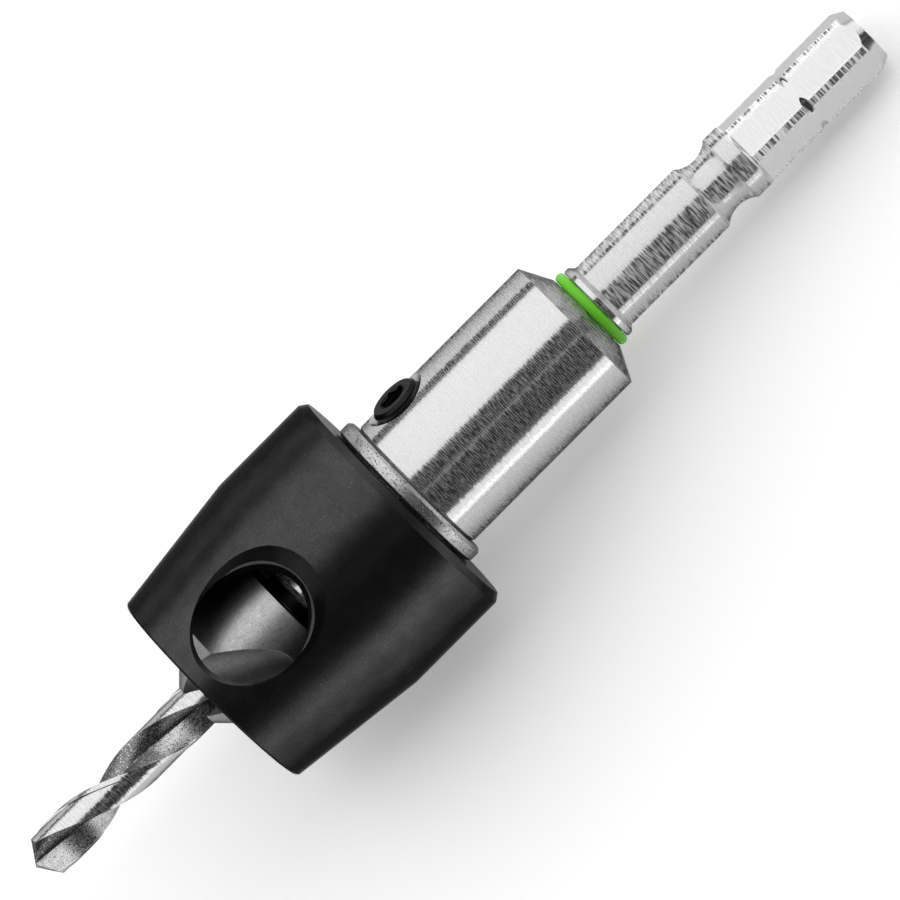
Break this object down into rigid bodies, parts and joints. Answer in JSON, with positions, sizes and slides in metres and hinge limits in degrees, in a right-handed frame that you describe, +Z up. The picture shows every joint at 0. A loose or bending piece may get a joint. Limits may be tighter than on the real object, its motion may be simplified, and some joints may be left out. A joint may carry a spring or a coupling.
{
  "type": "drill countersink with depth stop",
  "caption": "Twist drill and countersink cutter in a hex shank holder, with a depth collar that turns on a ball bearing.",
  "frame": {"origin": "centre of the base of the box round the tool as it lies at rest", "axes": "+X from the drill point towards the hex shank, +Z up; the tool's own axis runs 9 degrees down towards the shank"},
  "size_m": [0.1046, 0.025, 0.0268],
  "materials": {
    "turned_steel": "fine turned",
    "ground_steel": "ground",
    "black_steel": "black oxide",
    "spring_steel": "oiled spring steel",
    "bearing_steel": "polished",
    "cage_plastic": "moulded",
    "sintered_steel": "sintered, porous",
    "black_collar": "satin black anodised",
    "green_ring": "smooth"
  },
  "bodies": {
    "holder_body": {"holder": "turned_steel", "set_screw": "black_steel", "colour_ring": "green_ring", "spacer_ring": "sintered_steel", "shaft_retaining_ring": "spring_steel", "bearing_inner_race": "bearing_steel"},
    "collar_body": {"depth_collar": "black_collar", "collar_snap_ring": "spring_steel", "bearing_outer_race": "bearing_steel"},
    "cage_body": {"bearing_cage": "cage_plastic", "bearing_ball_1": "bearing_steel", "bearing_ball_2": "bearing_steel", "bearing_ball_3": "bearing_steel", "bearing_ball_4": "bearing_steel", "bearing_ball_5": "bearing_steel", "bearing_ball_6": "bearing_steel", "bearing_ball_7": "bearing_steel", "bearing_ball_8": "bearing_steel", "bearing_ball_9": "bearing_steel", "bearing_ball_10": "bearing_steel"},
    "cutter_body": {"countersink_cutter": "ground_steel"},
    "drill_body": {"twist_drill": "ground_steel"}
  },
  "joints": [
    {"name": "collar_spin", "type": "hinge", "parent": "holder_body", "child": "collar_body", "pos_m": [-0.00986, 0, 0.01283], "axis": [0.9876, 0, -0.1567], "continuous": true},
    {"name": "cage_spin", "type": "hinge", "parent": "holder_body", "child": "cage_body", "pos_m": [-0.00986, 0, 0.01283], "axis": [0.9876, 0, -0.1567], "continuous": true},
    {"name": "cutter_slide", "type": "slide", "parent": "holder_body", "child": "cutter_body", "axis": [0.9876, 0, -0.1567], "range_m": [-0.003, 0.001]},
    {"name": "drill_slide", "type": "slide", "parent": "cutter_body", "child": "drill_body", "axis": [0.9876, 0, -0.1567], "range_m": [-0.006, 0.003]}
  ],
  "couplings": [
    {"joint": "cage_spin", "follows": "collar_spin", "ratio": 0.58207}
  ]
}
